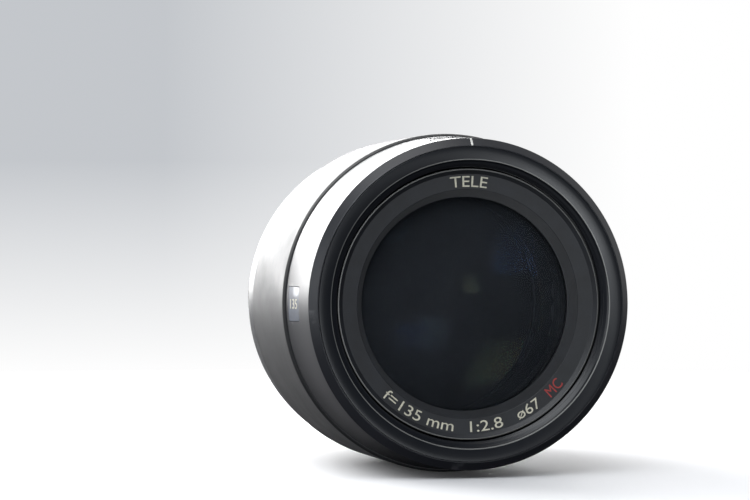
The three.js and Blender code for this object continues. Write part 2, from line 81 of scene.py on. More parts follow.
THREAD_RADIUS = 33.6 * MM
THREAD_MOUTH = 34.7 * MM
THREAD_PITCH = 0.75 * MM
THREAD_DEPTH = 0.42 * MM
NAME_RING_INNER = 27.7 * MM
NAME_RING_OUTER = 31.4 * MM
NAME_RING_LIP = 32.4 * MM
NAME_RING_EDGE = 32.7 * MM
RIM_RADIUS = 40.0 * MM
RIM_INNER = 38.1 * MM
RIM_DEPTH = 1.7 * MM  # how far back the bevel goes
RIM_STEP = 0.1 * MM  # the bevel starts this far behind the filter ring's face
RING_FIT = 0.12 * MM  # how far the filter ring fills the clearance round it, so that its seam is fine
GRIP_FIT = 0.33 * MM  # the same for each end of the focus ring's grip
HIGHLIGHT_BAND_WIDTH = 0.22 * MM  # the width of the lighter metal band painted round the filter thread's mouth as its highlight
BADGE_FLOOR = 39.9 * MM  # how far from the axis the badge's recess ends


def station(distance):
    """The y of a plane a number of millimetres ahead of the flange's seat."""
    return SEAT - distance * MM


NAME_FACE_OUTER = station(116.9)
NAME_FACE_INNER = station(116.6)

# ---- outlines


def polar(radius, degrees):
    angle = math.radians(degrees)
    return radius * math.cos(angle), radius * math.sin(angle)


def section(node, degrees=SHELL_CUT, facets=48):
    """A turned CAD node's outline when it is cut along its axis: (radius, y) points, anticlockwise."""
    mesh = bmesh.new()
    mesh.from_mesh(frame["nodes"][node].data)
    bmesh.ops.remove_doubles(mesh, verts=mesh.verts, dist=1e-6)
    out = Vector((math.cos(math.radians(degrees)), 0, math.sin(math.radians(degrees))))
    everything = mesh.verts[:] + mesh.edges[:] + mesh.faces[:]
    cut = bmesh.ops.bisect_plane(
        mesh, geom=everything, dist=1e-8, plane_co=(0, 0, 0), plane_no=(-out.z, 0, out.x)
    )
    links = {}
    for edge in cut["geom_cut"]:
        if isinstance(edge, bmesh.types.BMEdge) and all(v.co.dot(out) > 0 for v in edge.verts):
            first, second = edge.verts
            links.setdefault(first, []).append(second)
            links.setdefault(second, []).append(first)
    loops = []
    left = set(links)
    while left:
        loop = [min(left, key=lambda v: tuple(v.co))]
        left.discard(loop[0])
        while True:
            ahead = [v for v in links[loop[-1]] if v in left]
            if not ahead:
                break
            loop.append(ahead[0])
            left.discard(ahead[0])
        loops.append([(v.co.dot(out) / math.cos(math.pi / facets), v.co.y) for v in loop])
    mesh.free()
    return tidy_loop(max(loops, key=lambda loop: abs(loop_area(loop))))


def loop_area(loop):
    return sum(a[0] * b[1] - b[0] * a[1] for a, b in zip(loop, loop[1:] + loop[:1])) / 2


def turn_at(before, here, after):
    """How far an outline turns at a point, in degrees."""
    first = math.atan2(here[1] - before[1], here[0] - before[0])
    second = math.atan2(after[1] - here[1], after[0] - here[0])
    return abs(math.degrees((second - first + math.pi) % (2 * math.pi) - math.pi))


def tidy_loop(loop):
    """Anticlockwise, without the points that lie along a straight run."""
    if loop_area(loop) < 0:
        loop = loop[::-1]
    around = zip(loop[-1:] + loop[:-1], loop, loop[1:] + loop[:1])
    return [here for before, here, after in around if turn_at(before, here, after) > 0.4]


def blend_points(a, b, t):
    return a[0] + (b[0] - a[0]) * t, a[1] + (b[1] - a[1]) * t


def flowing(loop):
    """The outline with a smooth curve through its points wherever it only bends gently."""
    count, steps = len(loop), 5
    bends = [turn_at(loop[i - 1], loop[i], loop[(i + 1) % count]) < 20 for i in range(count)]
    result = []
    for i, here in enumerate(loop):
        after = loop[(i + 1) % count]
        result.append(here)
        if not (bends[i] or bends[(i + 1) % count]):
            continue
        before = loop[i - 1] if bends[i] else blend_points(after, here, 2)
        beyond = loop[(i + 2) % count] if bends[(i + 1) % count] else blend_points(here, after, 2)
        for step in range(1, steps):
            t = step / steps
            weights = (
                -0.5 * t + t**2 - 0.5 * t**3,
                1 - 2.5 * t**2 + 1.5 * t**3,
                0.5 * t + 2 * t**2 - 1.5 * t**3,
                -0.5 * t**2 + 0.5 * t**3,
            )
            knots = (before, here, after, beyond)
            result.append(tuple(sum(w * k[axis] for w, k in zip(weights, knots)) for axis in (0, 1)))
    return result


def rounded(loop, size=EDGE, steps=4):
    """The outline with a small round on every corner."""
    count = len(loop)
    result = []
    for i, corner in enumerate(loop):
        before, after = loop[i - 1], loop[(i + 1) % count]
        if turn_at(before, corner, after) < 20:
            result.append(corner)
            continue
        start = blend_points(corner, before, min(0.45, size / math.dist(corner, before)))
        end = blend_points(corner, after, min(0.45, size / math.dist(corner, after)))
        for step in range(steps + 1):
            t = step / steps
            result.append(blend_points(blend_points(start, corner, t), blend_points(corner, end, t), t))
    return result


def with_wall(loop, chosen, maker):
    """The outline with each straight wall that chosen(start, end) picks redrawn by maker(start, end)."""
    result = []
    for start, end in zip(loop, loop[1:] + loop[:1]):
        result += maker(start, end) if chosen(start, end) else [start]
    return result


def grooved(start, end, pitch, depth):
    """V grooves round the wall from start to end. The material is on the left of the way there."""
    length = math.dist(start, end)
    count = max(1, round(length / pitch))
    inward = (-(end[1] - start[1]) / length * depth, (end[0] - start[0]) / length * depth)
    points = []
    for i in range(count):
        middle = blend_points(start, end, (i + 0.5) / count)
        points.append(blend_points(start, end, (i + 0.08) / count))
        points.append((middle[0] + inward[0], middle[1] + inward[1]))
        points.append(blend_points(start, end, (i + 0.92) / count))
    return points


# ---- solids


def object_of(name, mesh):
    """A smooth-shaded object whose edges over 35 degrees stay sharp."""
    shape = bmesh.new()
    shape.from_mesh(mesh)
    bmesh.ops.remove_doubles(shape, verts=shape.verts, dist=1e-7)
    bmesh.ops.recalc_face_normals(shape, faces=shape.faces)
    shape.to_mesh(mesh)
    shape.free()
    mesh.polygons.foreach_set("use_smooth", [True] * len(mesh.polygons))
    mesh.set_sharp_from_angle(angle=math.radians(35))
    made = bpy.data.objects.new(name, mesh)
    bpy.context.scene.collection.objects.link(made)
    return made


def turned(name, outline, segments=SEGMENTS, reshape=None):
    """A solid of revolution, from (radius, y) points that close on themselves or run from axis to axis."""
    radius, y = np.array(outline).T
    turn = np.linspace(0, 2 * math.pi, segments, endpoint=False)[:, None]
    radii = np.broadcast_to(radius, (segments, len(radius)))
    if reshape:
        radii = reshape(radii, y, turn)
    grid = np.stack([radii * np.cos(turn), np.broadcast_to(y, radii.shape), radii * np.sin(turn)], axis=-1)
    count = len(radius)
    open_ended = radius[0] < 1e-9
    faces = []
    for j in range(segments):
        here, there = j * count, (j + 1) % segments * count
        for i in range(count - 1 if open_ended else count):
            k = (i + 1) % count
            faces.append((here + i, here + k, there + k, there + i))
    mesh = bpy.data.meshes.new(name)
    mesh.from_pydata(grid.reshape(-1, 3).tolist(), [], faces)
    return object_of(name, mesh)


def plate(name, outline, y_from, y_to, holes=()):
    """A flat, sharp-edged plate between two planes, from (x, z) points."""
    curve = bpy.data.curves.new(name, "CURVE")
    curve.dimensions = "2D"
    curve.fill_mode = "BOTH"
    curve.extrude = abs(y_to - y_from) / 2
    for loop in (outline, *holes):
        spline = curve.splines.new("POLY")
        spline.points.add(len(loop) - 1)
        for point, (x, z) in zip(spline.points, loop):
            point.co = (x, z, 0, 1)
        spline.use_cyclic_u = True
    holder = bpy.data.objects.new(name, curve)
    bpy.context.scene.collection.objects.link(holder)
    mesh = evaluated_mesh(holder)
    bpy.data.objects.remove(holder)
    middle = (y_from + y_to) / 2
    for vertex in mesh.vertices:
        x, z, depth = vertex.co
        vertex.co = (x, middle + depth, z)
    return object_of(name, mesh)


def block(name, low, high, bevel):
    """A box with rounded edges."""
    shape = bmesh.new()
    bmesh.ops.create_cube(shape, size=1)
    for vertex in shape.verts:
        vertex.co = [lo + (hi - lo) * (c + 0.5) for lo, hi, c in zip(low, high, vertex.co)]
    bmesh.ops.bevel(shape, geom=shape.edges[:], offset=bevel, segments=3, profile=0.5, affect="EDGES")
    mesh = bpy.data.meshes.new(name)
    shape.to_mesh(mesh)
    shape.free()
    return object_of(name, mesh)


def evaluated_mesh(source):
    return bpy.data.meshes.new_from_object(source.evaluated_get(bpy.context.evaluated_depsgraph_get()))


def joined(objects):
    """Several objects as one mesh."""
    shape = bmesh.new()
    for item in objects:
        shape.from_mesh(item.data)
    mesh = objects[0].data
    shape.to_mesh(mesh)
    shape.free()
    for item in objects[1:]:
        bpy.data.objects.remove(item)
    return objects[0]


def carved(base, tools, operation="DIFFERENCE"):
    """base with the tools cut out of it, added to it, or kept in common with it. The tools are used up."""
    tool = joined(tools)
    change = base.modifiers.new("carve", "BOOLEAN")
    change.operation = operation
    change.solver = "EXACT"
    change.object = tool
    mesh = evaluated_mesh(base)
    name = base.name
    bpy.data.objects.remove(base)
    bpy.data.objects.remove(tool)
    return object_of(name, mesh)


def sector(name, inner, outer, y_from, y_to, middle, sweep, bevel=0.25 * MM, steps=24):
    """A curved block: part of a ring, with its edges rounded."""
    half = sweep / 2
    outline = [polar(outer, middle - half + sweep * i / steps) for i in range(steps + 1)]
    outline += [polar(inner, middle + half - sweep * i / steps) for i in range(steps + 1)]
    made = plate(name, outline, y_from, y_to)
    return bevelled(made, bevel)


def bevelled(made, width):
    """The object with its sharp edges rounded for good."""
    change = made.modifiers.new("round", "BEVEL")
    change.width = width
    change.segments = 2
    change.limit_method = "ANGLE"
    change.angle_limit = math.radians(40)
    mesh = evaluated_mesh(made)
    name = made.name
    bpy.data.objects.remove(made)
    return object_of(name, mesh)


def settle(made, material, body, slot, *nodes):
    """Gives a finished piece its material and its body, and hides the CAD nodes it stands for. Its slot is
    not used.
    """
    made.data.materials.clear()
    made.data.materials.append(material)
    shading = made.modifiers.new("shading", "WEIGHTED_NORMAL")
    shading.keep_sharp = True
    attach(made, body)
    if nodes:
        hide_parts(*nodes)
    return made


# ---- materials


class Nodes:
    """A material's node tree. Sockets go in as values, so that a tree reads as nested calls."""

    def __init__(self, name, owner=None):
        self.owner = owner or bpy.data.materials.new(name)
        self.owner.use_nodes = True
        self.tree = self.owner.node_tree
        self.tree.nodes.clear()

    def add(self, kind, inputs=None, output=0, **settings):
        made = self.tree.nodes.new("ShaderNode" + kind)
        for key, value in settings.items():
            setattr(made, key, value)
        for key, value in (inputs or {}).items():
            if isinstance(value, bpy.types.NodeSocket):
                self.tree.links.new(value, made.inputs[key])
            else:
                made.inputs[key].default_value = value
        return made.outputs[output]

    def math(self, operation, a, b=0.0, c=0.0):
        return self.add("Math", {0: a, 1: b, 2: c}, operation=operation)

    def place(self):
        return self.add("TexCoord", output="Object")

    def noise(self, size, detail=4.0, roughness=0.55):
        """Noise whose lumps are about size metres across."""
        inputs = {"Vector": self.place(), "Scale": 1 / size, "Detail": detail, "Roughness": roughness}
        return self.add("TexNoise", inputs, output="Fac")

    def around_axis(self, across, along):
        """Coordinates that stretch a texture round the optical axis."""
        x, y, z = self.add("SeparateXYZ", {0: self.place()}).node.outputs
        angle = self.math("ARCTAN2", z, x)
        scaled = {
            "X": self.math("MULTIPLY", self.distance(x, z), 1 / across),
            "Y": self.math("MULTIPLY", y, 1 / across),
            "Z": self.math("MULTIPLY", angle, along),
        }
        return self.add("CombineXYZ", scaled)

    def turning_marks(self, size, along=3.0, detail=3.0):
        inputs = {"Vector": self.around_axis(size, along), "Scale": 1.0, "Detail": detail}
        return self.add("TexNoise", inputs, "Fac")

    def distance(self, a, b):
        squares = self.math("ADD", self.math("MULTIPLY", a, a), self.math("MULTIPLY", b, b))
        return self.math("SQRT", squares)

    def ramp(self, value, low, high, out_low=0.0, out_high=1.0):
        inputs = {"Value": value, 1: low, 2: high, 3: out_low, 4: out_high}
        return self.add("MapRange", inputs)

    def mix_color(self, factor, a, b):
        made = self.add("Mix", {0: factor}, output=2, data_type="RGBA").node
        for index, value in ((6, a), (7, b)):
            if isinstance(value, bpy.types.NodeSocket):
                self.tree.links.new(value, made.inputs[index])
            else:
                made.inputs[index].default_value = (*value, 1)
        return made.outputs[2]

    def bump(self, height, depth, strength):
        return self.add("Bump", {"Height": height, "Distance": depth, "Strength": strength})

    def wear(self):
        """White on convex edges, broken up by noise."""
        edges = self.ramp(self.add("NewGeometry", output="Pointiness"), 0.515, 0.56)
        return self.math("MULTIPLY", edges, self.ramp(self.noise(2.5 * MM, detail=6.0), 0.4, 0.7))

    def finish(self, shader):
        output = self.tree.nodes.new("ShaderNodeOutputMaterial")
        self.tree.links.new(shader, output.inputs["Surface"])
        return self.owner

    def principled(self, **inputs):
        values = {key.replace("_", " "): value for key, value in inputs.items()}
        return self.add("BsdfPrincipled", values)


def blasted_black(name, color, roughness, grain=0.09 * MM, depth=0.006 * MM):
    """Bead-blasted, black anodised aluminium: fine grain, patchy sheen and edges rubbed lighter."""
    n = Nodes(name)
    fine = n.noise(grain, detail=3.0)
    patches = n.noise(14 * MM, detail=5.0)
    rubbed = n.wear()
    shade = shaded(n, n.ramp(patches, 0.35, 0.7), color, 0.9, 1.1)
    shade = n.mix_color(n.math("MULTIPLY", rubbed, 0.35), shade, (0.2, 0.2, 0.21))
    rough = n.ramp(patches, 0.3, 0.7, roughness - 0.015, roughness + 0.02)
    rough = n.math("SUBTRACT", rough, n.math("MULTIPLY", rubbed, 0.12))
    return n.finish(
        n.principled(
            Base_Color=shade, Roughness=rough, Metallic=0.0, IOR=1.55, Normal=n.bump(fine, depth, 0.5)
        )
    )


def lathe_turned(
    name,
    color,
    roughness,
    metallic,
    marks=0.05 * MM,
    depth=0.003 * MM,
    spread=0.08,
    wear=0.3,
    brushed=0.45,
):
    """Metal with the fine circular marks of turning."""
    n = Nodes(name)
    rings = n.turning_marks(marks)
    smudges = n.noise(9 * MM, detail=5.0)
    rubbed = n.math("MULTIPLY", n.wear(), wear)
    shade = shaded(n, n.ramp(rings, 0.3, 0.7), color, 0.86, 1.12)
    shade = n.mix_color(rubbed, shade, (0.45, 0.45, 0.46))
    rough = n.ramp(smudges, 0.3, 0.7, roughness - spread / 2, roughness + spread)
    return n.finish(
        n.principled(
            Base_Color=shade,
            Roughness=rough,
            Metallic=metallic,
            Anisotropic=brushed,
            Tangent=n.add("Tangent", direction_type="RADIAL", axis="Y"),
            Normal=n.bump(rings, depth, 0.6),
        )
    )


def shaded(n, pattern, color, darkest, lightest):
    """The colour, mottled by a pattern between two shares of its brightness."""
    return n.mix_color(pattern, [c * darkest for c in color], [c * lightest for c in color])


def moulded(name, color, roughness, grain=0.25 * MM, depth=0.012 * MM, dust=0.0, sheen=0.0):
    """Moulded rubber or plastic: a leathery grain, uneven sheen and a little dust in the grain."""
    n = Nodes(name)
    cells = n.add("TexVoronoi", {"Vector": n.place(), "Scale": 1 / grain}, output="Distance")
    fine = n.noise(grain / 3, detail=3.0)
    height = n.math("ADD", n.math("MULTIPLY", cells, 0.6), n.math("MULTIPLY", fine, 0.6))
    patches = n.noise(11 * MM, detail=5.0)
    shade = shaded(n, n.ramp(patches, 0.35, 0.7), color, 0.8, 1.25)
    specks = n.ramp(n.noise(0.35 * MM, detail=2.0), 0.66, 0.8)
    shade = n.mix_color(n.math("MULTIPLY", specks, dust), shade, (0.32, 0.31, 0.3))
    rough = n.ramp(patches, 0.3, 0.7, roughness - 0.05, min(1.0, roughness + 0.07))
    return n.finish(
        n.principled(
            Base_Color=shade,
            Roughness=rough,
            Sheen_Weight=sheen,
            Sheen_Roughness=0.4,
            Normal=n.bump(height, depth, 0.5),
        )
    )


def matt_paint(name, color=(0.006, 0.006, 0.007), gloss=0.35, roughness=0.62):
    """The dull, slightly grainy black inside an optical instrument."""
    n = Nodes(name)
    grain = n.noise(0.12 * MM, detail=4.0)
    shade = shaded(n, n.ramp(n.noise(5 * MM), 0.35, 0.7), color, 0.7, 1.5)
    return n.finish(
        n.principled(
            Base_Color=shade,
            Roughness=n.ramp(grain, 0.3, 0.7, roughness, roughness + 0.2),
            Specular_IOR_Level=gloss,
            Normal=n.bump(grain, 0.01 * MM, 0.5),
        )
    )


def coated_glass(name, reflection, index=1.62, strength=0.06, haze=0.0):
    """Glass with an anti-reflection coat: a weak, coloured reflection, wiping marks and a haze of dust."""
    n = Nodes(name)
    marks = n.noise(6 * MM, detail=6.0, roughness=0.7)
    rough = n.ramp(marks, 0.45, 0.75, 0.02, 0.07)
    through = n.add("BsdfRefraction", {"Color": (0.93, 0.95, 0.94, 1), "Roughness": 0.0, "IOR": index})
    glance = n.add("Fresnel", {"IOR": index})
    tint = n.mix_color(n.ramp(glance, 0.05, 0.4), reflection, (0.85, 0.9, 1.0))
    mirrored = n.add("BsdfAnisotropic", {"Color": tint, "Roughness": rough})
    coated = n.add("MixShader", {0: n.math("MULTIPLY", glance, strength), 1: through, 2: mirrored})
    specks = n.ramp(n.noise(0.5 * MM, detail=1.0), 0.76, 0.8, 0.0, 4 * haze)
    film = n.math("ADD", n.ramp(marks, 0.3, 0.75, 0.75 * haze, 1.2 * haze), specks)
    dust = n.add("BsdfDiffuse", {"Color": (0.72, 0.8, 0.92, 1)})
    return n.finish(n.add("MixShader", {0: film, 1: coated, 2: dust}))


def dark_window(name):
    """Smoked display glass with finger smears."""
    n = Nodes(name)
    smears = n.noise(3 * MM, detail=6.0, roughness=0.7)
    return n.finish(
        n.principled(
            Base_Color=n.mix_color(smears, (0.004, 0.004, 0.005), (0.012, 0.012, 0.014)),
            Roughness=n.ramp(smears, 0.4, 0.75, 0.03, 0.2),
            IOR=1.5,
            Coat_Weight=0.6,
            Coat_Roughness=0.02,
        )
    )


def enamel(name, color):
    """Filled paint or enamel, a little uneven, with tiny pits."""
    n = Nodes(name)
    pits = n.noise(0.08 * MM, detail=3.0)
    shade = shaded(n, n.ramp(n.noise(0.9 * MM, detail=5.0), 0.3, 0.75), color, 0.75, 1.125)
    return n.finish(
        n.principled(
            Base_Color=shade,
            Roughness=n.ramp(pits, 0.3, 0.7, 0.3, 0.5),
            Coat_Weight=0.25,
            Normal=n.bump(pits, 0.004 * MM, 0.5),
        )
    )


def plated(name, color, roughness):
    """Bright plating with hairline scratches."""
    n = Nodes(name)
    hairs = n.turning_marks(0.03 * MM, 6.0, 6.0)
    tarnish = n.noise(2.4 * MM, detail=6.0)
    shade = shaded(n, n.ramp(tarnish, 0.4, 0.75), color, 1.0, 0.72)
    return n.finish(
        n.principled(
            Base_Color=shade,
            Metallic=1.0,
            Roughness=n.ramp(hairs, 0.3, 0.75, roughness * 0.7, roughness * 1.6),
            Normal=n.bump(hairs, 0.002 * MM, 0.5),
        )
    )


def circuit_board(name):
    """Green solder mask over copper tracks and plated holes."""
    n = Nodes(name)
    tracks = n.add(
        "TexBrick",
        {"Vector": n.place(), "Scale": 900.0, "Mortar Size": 0.03, "Brick Width": 0.9, "Row Height": 0.4},
        output="Fac",
    )
    holes = n.add("TexVoronoi", {"Vector": n.place(), "Scale": 1 / (1.6 * MM)}, output="Distance")
    hole_mask = n.ramp(holes, 0.09, 0.13, 1.0, 0.0)
    shade = n.mix_color(tracks, (0.008, 0.07, 0.035), (0.03, 0.16, 0.07))
    shade = n.mix_color(hole_mask, shade, (0.7, 0.5, 0.2))
    return n.finish(
        n.principled(
            Base_Color=shade,
            Roughness=n.ramp(n.noise(2 * MM), 0.3, 0.7, 0.3, 0.5),
            Metallic=n.math("MULTIPLY", hole_mask, 0.9),
            Normal=n.bump(tracks, 0.03 * MM, 0.6),
        )
    )


def winding(name):
    """Close turns of enamelled copper wire."""
    n = Nodes(name)
    turns = n.add(
        "TexWave",
        {"Vector": n.place(), "Scale": 1 / (1.3 * MM), "Distortion": 0.6, "Detail": 1.0},
        output="Fac",
        wave_type="BANDS",
        bands_direction="Y",
    )
    return n.finish(
        n.principled(
            Base_Color=n.mix_color(turns, (0.2, 0.06, 0.02), (0.72, 0.32, 0.13)),
            Metallic=0.85,
            Roughness=0.35,
            Normal=n.bump(turns, 0.06 * MM, 0.8),
        )
    )


def pale_floor(name):
    """A plain pale floor that fades into the background. The lens sees it darker than the camera does."""
    n = Nodes(name)
    mottle = n.noise(60 * MM, detail=6.0)
    seen = n.add("LightPath", output="Is Camera Ray")
    pale = n.mix_color(mottle, (0.8, 0.8, 0.81), (0.86, 0.86, 0.87))
    surface = n.principled(
        Base_Color=n.mix_color(seen, (0.04, 0.04, 0.045), pale),
        Roughness=n.ramp(mottle, 0.3, 0.7, 0.6, 0.7),
        Specular_IOR_Level=0.1,
        Normal=n.bump(n.noise(1.2 * MM), 0.05 * MM, 0.3),
    )
    x, y, _ = n.add("SeparateXYZ", {0: n.place()}).node.outputs
    away = n.ramp(n.distance(x, y), 160 * MM, 550 * MM)
    fade = n.math("SMOOTH_MAX", away, 0.0, 0.1)  # near the lens this leaves 1.7% see-through, a softer shadow
    return n.finish(n.add("MixShader", {0: fade, 1: surface, 2: n.add("BsdfTransparent")}))


BARREL_BLACK = blasted_black("barrel_black", (0.013, 0.014, 0.018), 0.36)
RIM_BLACK = lathe_turned("rim_black", (0.005, 0.006, 0.0085), 0.3, 0.0, spread=0.02, wear=0.0, brushed=0.0)
# a lighter metal for thin bands at the thread's mouth and the name ring's lip: painted highlights along those
# edges
HIGHLIGHT_METAL = lathe_turned("painted_highlight_metal", (0.24, 0.24, 0.23), 0.5, 0.8, wear=0.1)
MATT_BLACK = matt_paint("matt_black")
LETTER_RING_BLACK = matt_paint("letter_ring_black", (0.006, 0.007, 0.0095), 0.6, 0.4)
RUBBER = moulded("grip_rubber", (0.015, 0.0155, 0.017), 0.5, dust=0.05, sheen=0.03)
GASKET_RUBBER = moulded("gasket_rubber", (0.016, 0.016, 0.018), 0.55)
BLACK_PLASTIC = moulded("black_plastic", (0.012, 0.012, 0.013), 0.42, grain=0.12 * MM, depth=0.004 * MM)
CLEAR_ANODISED = lathe_turned("clear_anodised", (0.42, 0.43, 0.44), 0.34, 1.0, wear=0.1)
MOUNT_METAL = lathe_turned("mount_metal", (0.52, 0.51, 0.5), 0.27, 1.0, depth=0.002 * MM, wear=0.03)
SCREW_METAL = plated("screw_metal", (0.55, 0.54, 0.53), 0.26)
GROUND_STEEL = plated("ground_steel", (0.6, 0.6, 0.62), 0.2)
NICKEL = plated("nickel", (0.55, 0.54, 0.5), 0.3)
GOLD = plated("gold_plate", (0.95, 0.64, 0.25), 0.2)
WHITE_PAINT = enamel("white_paint", (0.78, 0.77, 0.72))
CREAM_PAINT = enamel("cream_paint", (0.66, 0.63, 0.5))
RED_PAINT = enamel("red_paint", (0.36, 0.03, 0.025))
SLATE_ENAMEL = enamel("slate_enamel", (0.075, 0.09, 0.125))
WINDOW = dark_window("display_window_glass")
BLADE_STEEL = lathe_turned("blade_black", (0.02, 0.02, 0.021), 0.45, 0.3, marks=0.15 * MM, wear=0.2)
BOARD = circuit_board("circuit_board_green")
COPPER = winding("copper_winding_wire")

EDGE_INK = matt_paint("edge_ink", (0.003, 0.003, 0.003))
FRONT_GLASS = coated_glass("glass_front_coat", (0.3, 0.5, 0.62), strength=0.035, haze=0.02)
GREEN_GLASS = coated_glass("glass_green_coat", (0.3, 0.62, 0.5))
MAGENTA_GLASS = coated_glass("glass_magenta_coat", (0.7, 0.3, 0.42), 1.68)
BLUE_GLASS = coated_glass("glass_blue_coat", (0.25, 0.4, 0.95), 1.58)
AMBER_GLASS = coated_glass("glass_amber_coat", (0.85, 0.5, 0.2), 1.72)

# ---- front section


BARREL_OUTLINE = flowing(section("front_barrel"))


def front_barrel():
    """The front of the barrel, with its bevelled rim, the badge's recess and the display's opening."""
    shell = turned("front_barrel_shell", rounded(BARREL_OUTLINE))
    window_low, window_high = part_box("display_window")
    badge_low, badge_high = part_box("badge_plate")
    room, beyond, corner = 0.12 * MM, 3 * MM, 0.5 * MM
    opening = block(
        "opening",
        (window_low.x - room, window_low.y - room, window_low.z - beyond),
        (window_high.x + room, window_high.y + room, window_high.z + beyond),
        corner,
    )
    recess = block(
        "recess",
        (badge_low.x - beyond, badge_low.y - room, badge_low.z - room),
        (-BADGE_FLOOR, badge_high.y + room, badge_high.z + room),
        corner,
    )
    shell = carved(shell, [opening, recess])
    settle(shell, BARREL_BLACK, "lens_body", "black_anodised", "front_barrel")


def threaded(radii, y, turn):
    """The filter thread: a helical ridge on the wall at the thread's radius, fading out at both ends."""
    on_wall = np.abs(radii - THREAD_RADIUS) < 0.02 * MM
    wall = y[on_wall[0]]
    along = (y - wall.min()) / (wall.max() - wall.min())
    fade = np.clip(np.minimum(along, 1 - along) * 7, 0, 1)
    phase = (y / THREAD_PITCH + turn / (2 * math.pi)) % 1.0
    ridge = np.clip(1.25 - np.abs(phase - 0.5) * 3.4, 0, 1)  # a flat crest between two slopes
    return radii - on_wall * fade * ridge * THREAD_DEPTH


def is_thread_wall(start, end):
    return abs(start[0] - THREAD_RADIUS) < 0.02 * MM and abs(end[0] - THREAD_RADIUS) < 0.02 * MM


def fine_rows(start, end):
    """A wall cut into rows fine enough to carry the thread."""
    rows = round(math.dist(start, end) / (THREAD_PITCH / 14))
    return [blend_points(start, end, i / rows) for i in range(rows)]


def is_mouth_cone(start, end):
    """The shallow cone from the thread's mouth out to the flat front face."""
    low, high = sorted((start[0], end[0]))
    return abs(low - THREAD_MOUTH) < 0.05 * MM and high > THREAD_MOUTH + 1 * MM


def banded(start, end):
    """The cone, cut where the painted highlight band round the mouth ends."""
    share = (THREAD_MOUTH + HIGHLIGHT_BAND_WIDTH - start[0]) / (end[0] - start[0])
    return [start, blend_points(start, end, share)]


def paint_highlight_band(made, inner, outer, behind):
    """Paints a highlight: a band of lighter metal between two radii, on faces no further than a distance
    behind the front.
    """
    made.data.materials.append(HIGHLIGHT_METAL)
    for face in made.data.polygons:
        reach = math.hypot(face.center.x, face.center.z)
        if inner < reach < outer and face.center.y < FRONT + behind:
            face.material_index = 1


def filter_ring():
    """The ring that carries the filter thread and the flat, dark front face."""
    outside = RIM_INNER - 0.5 * MM
    outline = [(r + RING_FIT if r > outside else r, y) for r, y in section("filter_ring")]
    outline = with_wall(outline, is_mouth_cone, banded)
    outline = with_wall(rounded(outline, 0.07 * MM), is_thread_wall, fine_rows)
    ring = turned("filter_ring_threaded", outline, 360, threaded)
    settle(ring, RIM_BLACK, "lens_body", "black_anodised", "filter_ring")
    # painted highlight: the thread's mouth gets a band of lighter metal
    paint_highlight_band(ring, THREAD_MOUTH - 0.08 * MM, THREAD_MOUTH + HIGHLIGHT_BAND_WIDTH, 0.55 * MM)


def is_light_trap(start, end):
    """The cone inside the name ring."""
    return max(start[0], end[0]) < NAME_RING_INNER + 0.1 * MM and math.dist(start, end) > 2 * MM


def name_ring():
    """The ring that holds the front element, with a raised lip and a finely grooved light trap. The lip's
    highlight is painted on as a band of lighter metal.
    """
    outline = rounded(section("name_ring"), 0.08 * MM)
    outline = with_wall(outline, is_light_trap, lambda p, q: grooved(p, q, 0.42 * MM, 0.22 * MM))
    ring = turned("name_ring_grooved", outline)
    settle(ring, LETTER_RING_BLACK, "lens_body", "matt_black", "name_ring")
    # painted highlight: a band of lighter metal along the lip's edge
    paint_highlight_band(ring, NAME_RING_LIP - 0.02 * MM, NAME_RING_EDGE + 0.1 * MM, 2.7 * MM)


def name_face(radius):
    """The y of the name ring's sloping face at a radius."""
    share = (radius - NAME_RING_INNER) / (NAME_RING_OUTER - NAME_RING_INNER)
    return NAME_FACE_INNER + (NAME_FACE_OUTER - NAME_FACE_INNER) * share


def flat_lettering(text, thickness):
    """Text as a closed mesh, lying in its own plane."""
    curve = bpy.data.curves.new("letters", "FONT")
    curve.body = text
    curve.align_x = "CENTER"
    curve.resolution_u = 6
    curve.extrude = thickness / 2
    holder = bpy.data.objects.new("letters", curve)
    bpy.context.scene.collection.objects.link(holder)
    mesh = evaluated_mesh(holder)
    bpy.data.objects.remove(holder)
    return mesh


def fitted(mesh, width, height):
    """The lettering's points, scaled so that its capitals fill a width and a height, centred on nought."""
    points = np.array([vertex.co for vertex in mesh.vertices])
    low, high = points.min(axis=0), points.max(axis=0)
    middle = (low + high) / 2
    across = (points[:, 0] - middle[0]) / (high[0] - low[0]) * width
    up = (points[:, 1] - low[1]) / (high[1] - low[1]) * height
    return across, up, points[:, 2]


def ring_lettering(name, text, clock, sweep, material, upright):
    """Raised lettering bent round the name ring. clock is its middle, in degrees clockwise from the top."""
    inner, height = 28.3 * MM, 2.6 * MM
    mesh = flat_lettering(text, 0.08 * MM)
    radius = inner + height / 2
    across, up, depth = fitted(mesh, radius * math.radians(sweep), height)
    middle = math.radians(90 - clock)
    for vertex, x, z, d in zip(mesh.vertices, across, up, depth):
        reach = inner + z if upright else inner + height - z
        angle = middle - x / radius if upright else middle + x / radius
        vertex.co = (reach * math.cos(angle), name_face(reach) + d, reach * math.sin(angle))
    settle(object_of(name, mesh), material, "lens_body", "matt_black")


def lettering():
    """Generic lettering only: kind, focal length, aperture, filter size and a mark for the coating."""
    words = (
        ("kind", "TELE", 0, 18, CREAM_PAINT),
        ("focal_length", "f=135 mm", 206, 37, CREAM_PAINT),
        ("aperture", "1:2.8", 171.5, 16, CREAM_PAINT),
        ("filter_size", "ø67", 149.5, 12.5, CREAM_PAINT),
        ("coating", "MC", 133.5, 8.5, RED_PAINT),
    )
    for name, text, clock, sweep, paint in words:
        ring_lettering(f"lettering_{name}", text, clock, sweep, paint, upright=clock == 0)


